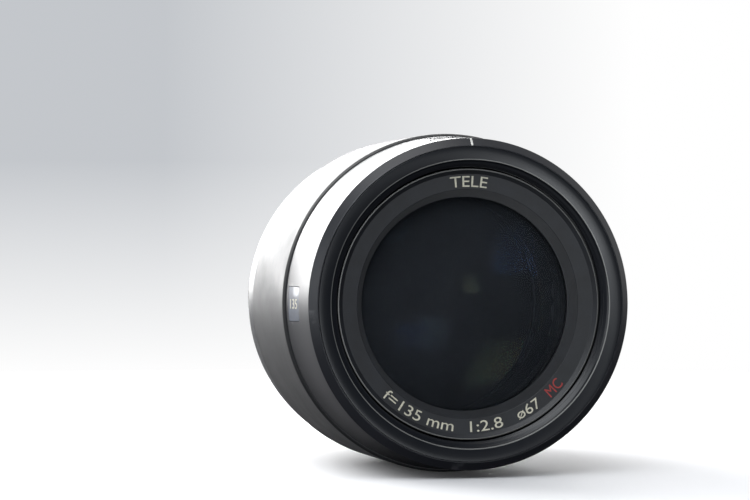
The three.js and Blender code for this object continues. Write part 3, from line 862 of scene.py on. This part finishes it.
def index_tick():
    """The white line across the rim's bevel at the top, inlaid and following the slope."""
    half_width, proud, steps = 0.24 * MM, 0.03 * MM, 6
    slope = math.atan2(RIM_DEPTH, RIM_RADIUS - RIM_INNER)
    low, high = RIM_INNER + 0.05 * MM, RIM_RADIUS - 0.03 * MM
    shape = bmesh.new()
    rows = []
    for i in range(steps + 1):
        radius = low + (high - low) * i / steps
        y = FRONT + RIM_STEP + (radius - RIM_INNER) * math.tan(slope)
        ring = []
        for side, lift in ((-1, proud), (1, proud), (1, -4 * proud), (-1, -4 * proud)):
            x = side * half_width
            z = math.sqrt((radius + lift * math.sin(slope)) ** 2 - x**2)
            ring.append(shape.verts.new((x, y - lift * math.cos(slope), z)))
        rows.append(ring)
    for here, there in zip(rows, rows[1:]):
        for i in range(4):
            shape.faces.new((here[i], here[(i + 1) % 4], there[(i + 1) % 4], there[i]))
    shape.faces.new(rows[0][::-1])
    shape.faces.new(rows[-1])
    mesh = bpy.data.meshes.new("index_tick")
    shape.to_mesh(mesh)
    shape.free()
    settle(object_of("index_tick", mesh), WHITE_PAINT, "lens_body", "matt_black")


def barrel_radius(y):
    """The front barrel's outside radius at a y, read off its outline."""
    outside = sorted((p[1], p[0]) for p in BARREL_OUTLINE if p[0] > RIM_INNER + 0.5 * MM)
    return float(np.interp(y, [p[0] for p in outside], [p[1] for p in outside]))


def skin_band(name, low, high):
    """A thin band of the front barrel's skin, long enough to cut a badge or a window from."""
    steps = 8
    ends = (low - 1 * MM, high + 1 * MM)
    along = [ends[0] + (ends[1] - ends[0]) * i / steps for i in range(steps + 1)]
    outside = [(barrel_radius(y) - 0.02 * MM, y) for y in along]
    return turned(name, [(37.6 * MM, ends[0]), *outside, (37.6 * MM, ends[1])])


def badge():
    """A plain enamelled plate let into the side, with the focal length on it."""
    low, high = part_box("badge_plate")
    limits = block("limits", (low.x - 1 * MM, low.y, low.z), (high.x, high.y, high.z), 0.5 * MM)
    enamel_plate = carved(skin_band("badge_enamel", low.y, high.y), [limits], "INTERSECT")
    settle(enamel_plate, SLATE_ENAMEL, "lens_body", "badge_enamel", "badge_plate")
    height = 2.4 * MM
    mesh = flat_lettering("135", 0.06 * MM)
    across, up, depth = fitted(mesh, 5.6 * MM, height)
    for vertex, x, z, d in zip(mesh.vertices, across, up - height / 2, depth):
        y = (low.y + high.y) / 2 - x
        reach = math.sqrt(barrel_radius(y) ** 2 - z**2)
        vertex.co = (-reach - d, y, z)
    settle(object_of("badge_number", mesh), CREAM_PAINT, "lens_body", "badge_enamel")


def display_window():
    low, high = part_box("display_window")
    limits = block("limits", low, (high.x, high.y, high.z + 1 * MM), 0.45 * MM)
    pane = carved(skin_band("display_window_pane", low.y, high.y), [limits], "INTERSECT")
    settle(pane, WINDOW, "lens_body", "display_glass", "display_window")


# ---- focus ring and rear


def focus_ring():
    low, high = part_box("focus_ring_grip")
    middle, stretch = (low.y + high.y) / 2, 1 + 2 * GRIP_FIT / (high.y - low.y)
    outline = [(r, middle + (y - middle) * stretch) for r, y in section("focus_ring_grip")]
    grip = turned("focus_ring_rubber", rounded(outline, 0.18 * MM, 6))
    settle(grip, RUBBER, "focus_ring", "rubber", "focus_ring_grip")
    core = turned("focus_ring_sleeve", rounded(section("focus_ring_core"), 0.2 * MM))
    settle(core, BARREL_BLACK, "focus_ring", "inner_aluminium", "focus_ring_core")


def rear_barrel():
    shell = turned("rear_barrel_shell", rounded(flowing(section("rear_barrel"))))
    settle(shell, BARREL_BLACK, "lens_body", "black_anodised", "rear_barrel")


def mount_index():
    """The white dot on the rear barrel that is lined up with the camera's."""
    y = station(6.0)
    radius = 1.0 * MM
    dome = [(0, 0), (0.55 * radius, 0.08 * radius), (radius, 0.4 * radius), (radius, radius), (0, radius)]
    dot = turned("mount_index_dot", dome, 40)
    top = max(r for r, along in section("rear_barrel") if abs(along - y) < 8 * MM) + 0.25 * MM
    for vertex in dot.data.vertices:
        x, depth, z = vertex.co
        vertex.co = (x, y + z, top - depth)
    settle(dot, WHITE_PAINT, "lens_body", "black_anodised")


# ---- bayonet mount

TAB_CENTRES = (90, 210, 330)
TAB_SWEEP = 52
TAB_THICKNESS = 1.4 * MM
TAB_RADIUS = 22.9 * MM
BAYONET_RADIUS = 21.6 * MM
LOCK_CIRCLE = 27.6 * MM
LOCK_ANGLE = 180
LOCK_RADIUS = 1.5 * MM
HEAD = 1.75 * MM  # the radius of a screw's head
CONTACTS = 10
PAD_FIRST, PAD_LAST, PAD_SWEEP = 239, 301, 3.6
BAFFLE_RADIUS = 19.3 * MM
BAFFLE_HALF_WIDTH = 12.5 * MM
BAFFLE_HALF_HEIGHT = 8.75 * MM


def mount_flange():
    """The plated flange with its bayonet tabs, countersunk screw holes and lock pin hole."""
    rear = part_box("mount_flange")[1].y
    ring = turned("mount_flange_plated", rounded(section("mount_flange"), 0.15 * MM))
    inside = BAYONET_RADIUS - 1 * MM
    tabs = [
        sector("tab", inside, TAB_RADIUS, rear - TAB_THICKNESS, rear, middle, TAB_SWEEP)
        for middle in TAB_CENTRES
    ]
    ring = carved(ring, tabs, "UNION")
    above, through, lock_floor = SEAT + 1 * MM, SEAT - 4 * MM, SEAT - 1.4 * MM
    cone = [
        (0, above),
        (HEAD + 0.25 * MM, above),
        (HEAD + 0.2 * MM, SEAT - 0.12 * MM),
        (HEAD - 0.5 * MM, SEAT - 0.85 * MM),
        (HEAD - 0.6 * MM, through),
        (0, through),
    ]
    holes = [turned_at("screw_hole", cone, *screw_centre(i), 48) for i in (1, 2, 3, 4)]
    pin_hole = [(0, above), (LOCK_RADIUS, above), (LOCK_RADIUS, lock_floor), (0, lock_floor)]
    holes.append(turned_at("lock_hole", pin_hole, *polar(LOCK_CIRCLE, LOCK_ANGLE), 48))
    ring = carved(ring, holes)
    settle(ring, MOUNT_METAL, "lens_body", "mount_steel", "mount_flange")


def turned_at(name, outline, x, z, segments=SEGMENTS):
    """A small turned piece whose own axis stands off the optical axis."""
    made = turned(name, outline, segments)
    for vertex in made.data.vertices:
        vertex.co.x += x
        vertex.co.z += z
    return made


def screw_centre(number):
    low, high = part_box(f"mount_screw_{number}")
    return (low.x + high.x) / 2, (low.z + high.z) / 2


def mount_screw(number):
    """A countersunk screw with a cross recess."""
    low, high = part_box(f"mount_screw_{number}")
    head, tip = high.y, low.y
    edge, shank = 0.12 * MM, 0.9 * MM
    outline = [
        (0, head),
        (HEAD - edge, head),
        (HEAD - 0.3 * edge, head - 0.3 * edge),
        (HEAD, head - edge),
        (shank, head - shank),
        (shank, tip),
        (0, tip),
    ]
    x, z = screw_centre(number)
    body = turned_at(f"mount_screw_{number}_cross", outline, x, z, 48)
    turn = math.radians(25 + 50 * number)  # no two screws stop at the same angle
    reach, half_width, depth, above = 1.15 * MM, 0.2 * MM, 0.75 * MM, 0.5 * MM
    for angle in (turn, turn + math.pi / 2):
        slot = block(
            "cross", (-reach, head - depth, -half_width), (reach, head + above, half_width), 0.06 * MM
        )
        c, s = math.cos(angle), math.sin(angle)
        for vertex in slot.data.vertices:
            a, b = vertex.co.x, vertex.co.z
            vertex.co.x, vertex.co.z = x + a * c - b * s, z + a * s + b * c
        body = carved(body, [slot])
    settle(body, SCREW_METAL, "lens_body", "mount_steel", f"mount_screw_{number}")


def contacts():
    """A curved plastic block at the bottom of the throat, with a row of gold pads on its rear face."""
    low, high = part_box("contact_block")
    body = sector("contact_block_moulded", 15.9 * MM, 19.2 * MM, low.y, high.y, 270, 72, 0.3 * MM, 48)
    settle(body, BLACK_PLASTIC, "lens_body", "black_plastic", "contact_block")
    low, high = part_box("contact_strip")
    pads = []
    for i in range(CONTACTS):
        middle = PAD_FIRST + (PAD_LAST - PAD_FIRST) * i / (CONTACTS - 1)
        pad = sector("pad", 16.85 * MM, 18.25 * MM, low.y, high.y, middle, PAD_SWEEP, 0.12 * MM, 6)
        pads.append(pad)
    top = low.y + 0.25 * MM
    base = sector("contact_strip_gold", 16.5 * MM, 18.6 * MM, low.y, top, 270, 66, 0.05 * MM, 48)
    base = carved(base, pads, "UNION")
    settle(base, GOLD, "lens_body", "gold_contacts", "contact_strip")


def rear_baffle():
    """The light baffle inside the mount, with a rectangular window."""
    low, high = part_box("rear_baffle")
    steps = 96
    rim = [polar(BAFFLE_RADIUS, 360 * i / steps) for i in range(steps)]
    corner = 1 * MM
    across, up = BAFFLE_HALF_WIDTH - corner, BAFFLE_HALF_HEIGHT - corner
    window = []
    for side, top, start in ((1, 1, 0), (-1, 1, 90), (-1, -1, 180), (1, -1, 270)):
        for i in range(7):
            x, z = polar(corner, start + 15 * i)
            window.append((side * across + x, top * up + z))
    made = bevelled(plate("rear_baffle_window", rim, low.y, high.y, [window]), 0.12 * MM)
    settle(made, MATT_BLACK, "lens_body", "matt_black", "rear_baffle")


def mount():
    mount_flange()
    for number in (1, 2, 3, 4):
        mount_screw(number)
    gasket = turned("mount_gasket_rubber", rounded(section("mount_gasket"), 0.12 * MM))
    settle(gasket, GASKET_RUBBER, "lens_body", "rubber", "mount_gasket")
    contacts()
    rear_baffle()
    mount_index()


# ---- glass and cells


def lens_body_of(node):
    """The body a CAD node rides on."""
    for name, nodes in frame["record"]["behaviour"]["bodies"].items():
        if node in nodes:
            return name
    raise KeyError(node)


def curved_face(radius, middle, rim):
    """A spherical face as (radius, y) points from the axis out to the rim."""
    steps = 28
    bulge = rim - middle
    sphere = (radius**2 + bulge**2) / (2 * bulge)
    points = []
    for i in range(steps + 1):
        r = radius * i / steps
        sag = sphere - math.copysign(math.sqrt(sphere**2 - r**2), sphere)
        points.append((r, middle + sag))
    return points


def lens_element(node, glass):
    """A glass element with true spherical faces, a ground and blackened edge and small safety bevels."""
    places = [v.co for v in frame["nodes"][node].data.vertices]
    points = {(round(math.hypot(p.x, p.z), 6), round(p.y, 6)) for p in places}
    radius = max(r for r, y in points)
    on_axis = sorted(y for r, y in points if r < 1e-5)
    at_rim = sorted(y for r, y in points if r > radius - 1e-5)
    safety = 0.2 * MM
    front = curved_face(radius - safety, on_axis[0], at_rim[0])
    rear = curved_face(radius - safety, on_axis[-1], at_rim[-1])
    edge = [(radius, at_rim[0] + safety), (radius, at_rim[-1] - safety)]
    made = turned(f"{node}_polished", front + edge + rear[::-1], 128)
    settle(made, glass, lens_body_of(node), "coated_glass", node)
    made.data.materials.append(EDGE_INK)
    for face in made.data.polygons:
        reach = math.hypot(face.center.x, face.center.z)
        face.material_index = int(reach > radius - safety * 1.01)


def glass():
    coats = (GREEN_GLASS, MAGENTA_GLASS, BLUE_GLASS, AMBER_GLASS)
    lens_element("lens_element_01", FRONT_GLASS)
    for number in range(2, 15):
        lens_element(f"lens_element_{number:02d}", coats[number % len(coats)])


def is_bore(start, end):
    """A wall that faces the axis: on an anticlockwise outline it runs towards -Y."""
    steep = abs(end[1] - start[1]) > 2 * abs(end[0] - start[0])
    return end[1] < start[1] and steep and math.dist(start, end) > 1.2 * MM


def rod_holes(low, high):
    """Cutters for the two guide rods' bores."""
    made = []
    for node in ("upper_guide_rod", "lower_guide_rod"):
        a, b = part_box(node)
        reach = (b.x - a.x) / 2 + 0.2 * MM
        outline = [(0, low), (reach, low), (reach, high), (0, high)]
        made.append(turned_at("bore", outline, (a.x + b.x) / 2, (a.z + b.z) / 2, 32))
    return made


def baffled(node, name, material, slot, pitch=0.9 * MM, depth=0.3 * MM, bores=False):
    """A turned inner piece whose bores carry light-trap grooves."""
    outline = with_wall(
        rounded(section(node, TUBE_CUT, 36), 0.1 * MM), is_bore, lambda a, b: grooved(a, b, pitch, depth)
    )
    made = turned(name, outline, 160)
    if bores:
        low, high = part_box(node)
        made = carved(made, rod_holes(low.y - 1 * MM, high.y + 1 * MM))
    settle(made, material, lens_body_of(node), slot, node)


def cells():
    baffled("front_lens_cell", "front_lens_cell_baffled", MATT_BLACK, "matt_black", bores=True)
    baffled("rear_lens_cell", "rear_lens_cell_baffled", MATT_BLACK, "matt_black", 0.4 * MM, 0.2 * MM)


# ---- the works inside


def refined(node, name, material, slot, edge=0.08 * MM):
    """An inner piece in the CAD's own shape, with its edges rounded and its curved walls shaded smooth."""
    made = object_of(name, frame["nodes"][node].data.copy())
    settle(bevelled(made, edge), material, lens_body_of(node), slot, node)


def works():
    inner = (
        ("main_barrel", "machined", CLEAR_ANODISED, "inner_aluminium"),
        ("stabiliser_base", "machined", CLEAR_ANODISED, "inner_aluminium"),
        ("iris_motor", "can", NICKEL, "inner_aluminium"),
        ("front_focus_carrier", "moulded", BLACK_PLASTIC, "black_plastic"),
        ("rear_focus_carrier", "moulded", BLACK_PLASTIC, "black_plastic"),
        ("stabiliser_frame", "moulded", BLACK_PLASTIC, "black_plastic"),
        ("iris_cam_ring", "moulded", BLACK_PLASTIC, "black_plastic"),
        ("stabiliser_guide", "stamped", GROUND_STEEL, "guide_steel"),
        ("upper_guide_rod", "ground", GROUND_STEEL, "guide_steel"),
        ("lower_guide_rod", "ground", GROUND_STEEL, "guide_steel"),
        ("iris_housing", "black", MATT_BLACK, "matt_black"),
        ("iris_pinion", "brass", GOLD, "gold_contacts"),
        ("main_board", "populated", BOARD, "circuit_board"),
        ("front_focus_coil", "wound", COPPER, "copper_winding"),
        ("rear_focus_coil", "wound", COPPER, "copper_winding"),
        ("front_focus_magnet", "plated", NICKEL, "magnet"),
        ("rear_focus_magnet", "plated", NICKEL, "magnet"),
        ("display_panel", "module", BLACK_PLASTIC, "display"),
    )
    for node, finish, material, slot in inner:
        refined(node, f"{node}_{finish}", material, slot)
    for number in range(1, 10):
        blade = f"iris_blade_{number}"
        refined(blade, f"{blade}_leaf", BLADE_STEEL, "iris_steel", 0.02 * MM)


# ---- studio and camera


def studio():
    """A pale floor, and a world that lights the lens mostly from behind and shows a shaded backdrop."""
    scene = bpy.context.scene
    floor = bpy.data.meshes.new("floor")
    shape = bmesh.new()
    bmesh.ops.create_grid(shape, x_segments=1, y_segments=1, size=6000 * MM)
    bmesh.ops.translate(shape, verts=shape.verts, vec=(0, 0, FLOOR))
    shape.to_mesh(floor)
    shape.free()
    floor.materials.append(pale_floor("floor_pale"))
    ground = bpy.data.objects.new("floor", floor)
    scene.collection.objects.link(ground)
    ground.visible_shadow = False  # so that the low sheen box can shine through it

    scene.world = bpy.data.worlds.new("studio")
    w = Nodes("studio", scene.world)
    white, dim, grey = (1.0, 1.0, 1.0), (0.05, 0.058, 0.075), (0.55, 0.57, 0.6)
    x, y, z = w.add("SeparateXYZ", {0: w.add("TexCoord", output="Generated")}).node.outputs
    behind = w.math("MULTIPLY", w.ramp(y, -0.35, 0.5), w.ramp(z, -0.12, 0.06, 0.06, 1.0))
    upper_left = w.math("MULTIPLY", w.ramp(x, 0.16, 0.34, 1.0, 0.0), w.ramp(z, -0.045, 0.04))
    lighting = w.mix_color(behind, dim, white)
    backdrop = w.mix_color(upper_left, white, grey)
    seen = w.add("LightPath", output="Is Camera Ray")
    light = w.add("Background", {"Color": w.mix_color(seen, lighting, backdrop), "Strength": 1.0})
    output = w.tree.nodes.new("ShaderNodeOutputWorld")
    w.tree.links.new(light, output.inputs["Surface"])


def soft_box(name, place, target, size, power, color=(1, 1, 1)):
    """A rectangular lamp that faces its target. The camera doesn't see it."""
    lamp = bpy.data.lights.new(name, "AREA")
    lamp.shape = "RECTANGLE"
    lamp.size, lamp.size_y = size
    lamp.energy = power
    lamp.color = color
    holder = bpy.data.objects.new(name, lamp)
    holder.location = place
    holder.rotation_euler = (Vector(target) - Vector(place)).to_track_quat("-Z", "Y").to_euler()
    holder.visible_camera = False
    bpy.context.scene.collection.objects.link(holder)


def lights():
    middle = (0, 0, 0)
    soft_box("window_behind", (-0.08, 1.2, 0.31), middle, (1.0, 0.6), 16)
    soft_box("upper_left_box", (-0.6, 0.75, 0.6), middle, (0.7, 0.7), 14)
    soft_box("overhead_box", (-0.2, -0.12, 0.8), middle, (0.9, 0.5), 2.4)
    front_face = (0.02, FRONT, 0)
    cool = (0.92, 0.96, 1.0)
    soft_box("left_strip", (-0.6, FRONT - 0.16, 0.0), front_face, (0.2, 0.6), 0.8, cool)
    soft_box("front_fill", (-0.25, FRONT - 0.5, 0.5), front_face, (0.5, 0.5), 3.4, cool)
    soft_box("face_sheen", (0.02, FRONT - 0.48, -0.11), front_face, (0.1, 0.1), 0.55, cool)


CAMERA = {
    "azimuth": -16.3,
    "elevation": 1.0,
    "distance": 600 * MM,
    "focal_length": 119.9,
    "right": 0.1303,  # how far right of the picture's middle the front rim's centre stands, in picture widths
    "below": 0.0723,  # and how far below it
}


def camera():
    """The camera stands ahead of the lens and to its left, almost level, and looks a little past it."""
    data = bpy.data.cameras.new("camera")
    data.sensor_width = 36
    data.lens = CAMERA["focal_length"]
    data.clip_start, data.clip_end = 0.01, 50
    azimuth, elevation = math.radians(CAMERA["azimuth"]), math.radians(CAMERA["elevation"])
    away = Vector(
        (
            math.sin(azimuth) * math.cos(elevation),
            -math.cos(azimuth) * math.cos(elevation),
            math.sin(elevation),
        )
    )
    holder = bpy.data.objects.new("camera", data)
    bpy.context.scene.collection.objects.link(holder)
    holder.location = Vector((0, FRONT, 0)) + away * CAMERA["distance"]
    widths = data.sensor_width / data.lens
    heading = -azimuth - math.atan(CAMERA["right"] * widths)
    pitch = -elevation + math.atan(CAMERA["below"] * widths)
    holder.rotation_euler = (math.pi / 2 + pitch, 0, -heading)
    bpy.context.scene.camera = holder


front_barrel()
filter_ring()
name_ring()
lettering()
index_tick()
badge()
display_window()
focus_ring()
rear_barrel()
mount()
glass()
cells()
works()
studio()
lights()
camera()

scene = bpy.context.scene
scene.view_settings.view_transform = "Standard"
scene.cycles.use_denoising = True
